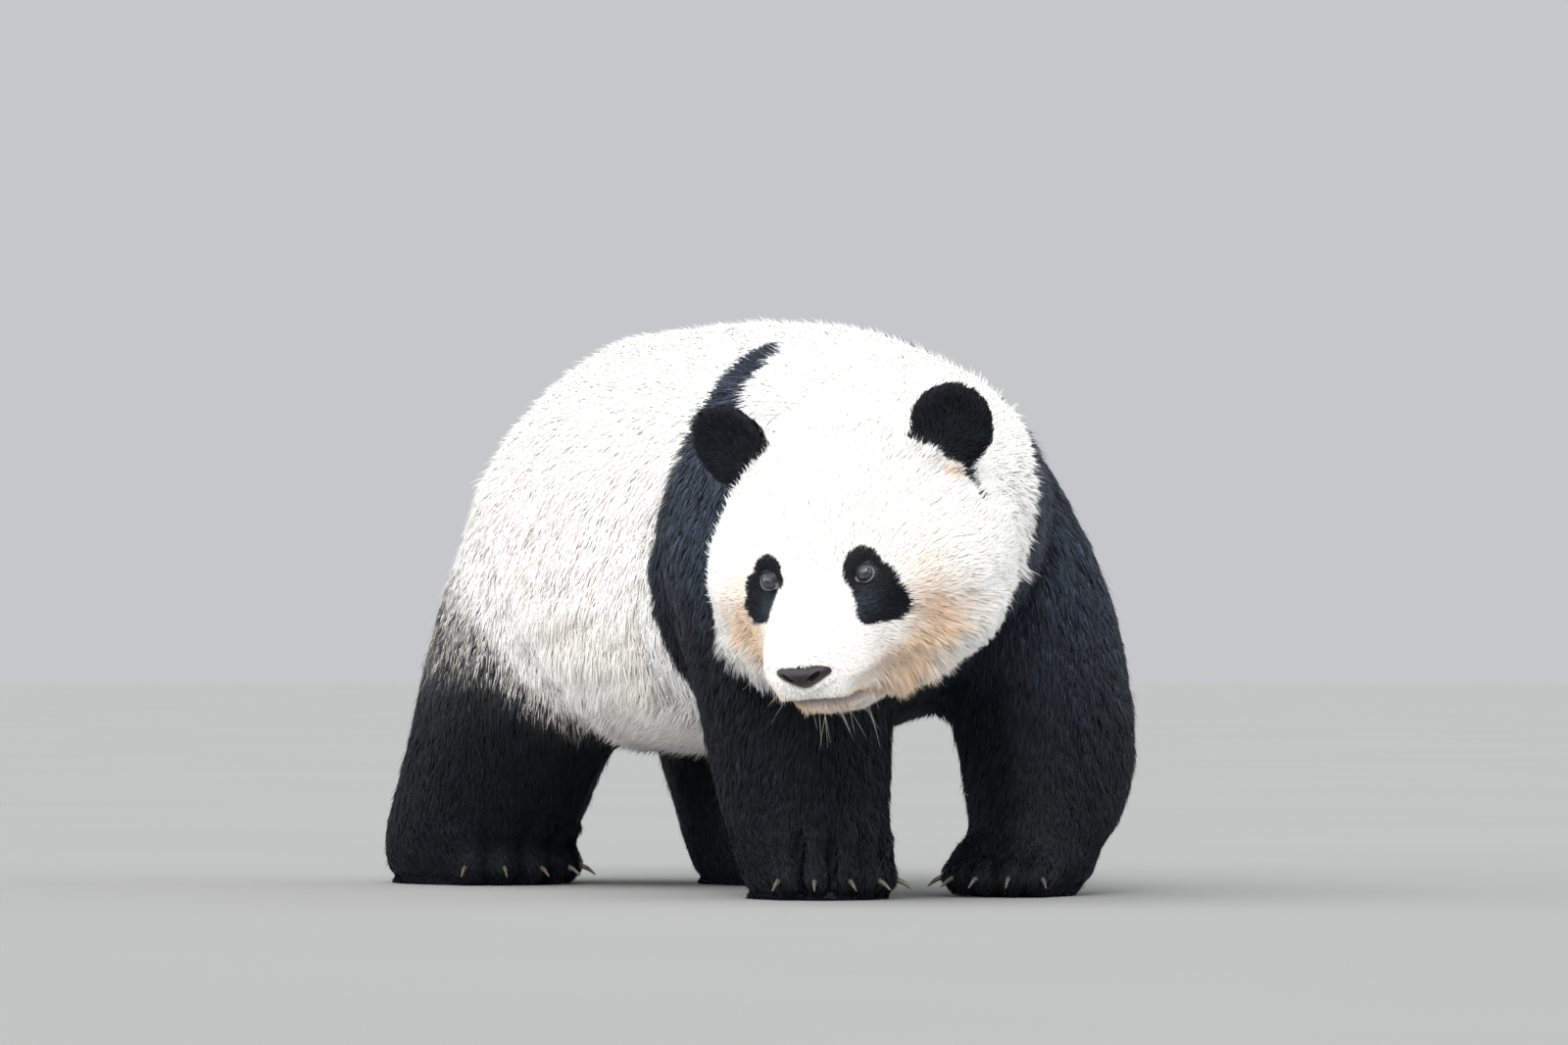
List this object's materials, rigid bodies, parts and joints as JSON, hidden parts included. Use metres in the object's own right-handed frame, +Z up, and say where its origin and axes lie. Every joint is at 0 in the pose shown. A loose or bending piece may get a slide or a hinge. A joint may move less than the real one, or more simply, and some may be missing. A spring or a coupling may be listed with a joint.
{
  "type": "giant panda",
  "caption": "Life-size still model of a giant panda walking with its head turned to its right, standing on its paws.",
  "frame": {"origin": "on the floor, under the middle of the model's bounding box", "axes": "+Z up, -Y the way the panda walks, +X to the panda's left"},
  "size_m": [0.6918, 1.3828, 0.72],
  "materials": {
    "coat_white": "dense creamy white fur, stained brown at the cheeks and speckled grey at the thighs",
    "coat_black": "dense black fur with a cool grey sheen",
    "nose_pad": "pebbled moist skin, half gloss",
    "eye": "dark blue-grey, wet gloss",
    "claw": "smooth dark horn, half gloss"
  },
  "bodies": {
    "root": {"head": "coat_white", "neck": "coat_white", "trunk": "coat_white", "tail": "coat_white", "ear_left": "coat_black", "ear_right": "coat_black", "eye_left": "eye", "eye_right": "eye", "nose": "nose_pad", "foreleg_left_upper": "coat_black", "foreleg_left_lower": "coat_black", "forepaw_left": "coat_black", "foreleg_right_upper": "coat_black", "foreleg_right_lower": "coat_black", "forepaw_right": "coat_black", "hindleg_left_upper": "coat_black", "hindleg_left_lower": "coat_black", "hindpaw_left": "coat_black", "hindleg_right_upper": "coat_black", "hindleg_right_lower": "coat_black", "hindpaw_right": "coat_black", "foreclaw_left_1": "claw", "foreclaw_left_2": "claw", "foreclaw_left_3": "claw", "foreclaw_left_4": "claw", "foreclaw_left_5": "claw", "foreclaw_right_1": "claw", "foreclaw_right_2": "claw", "foreclaw_right_3": "claw", "foreclaw_right_4": "claw", "foreclaw_right_5": "claw", "hindclaw_left_1": "claw", "hindclaw_left_2": "claw", "hindclaw_left_3": "claw", "hindclaw_left_4": "claw", "hindclaw_left_5": "claw", "hindclaw_right_1": "claw", "hindclaw_right_2": "claw", "hindclaw_right_3": "claw", "hindclaw_right_4": "claw", "hindclaw_right_5": "claw"}
  },
  "joints": []
}
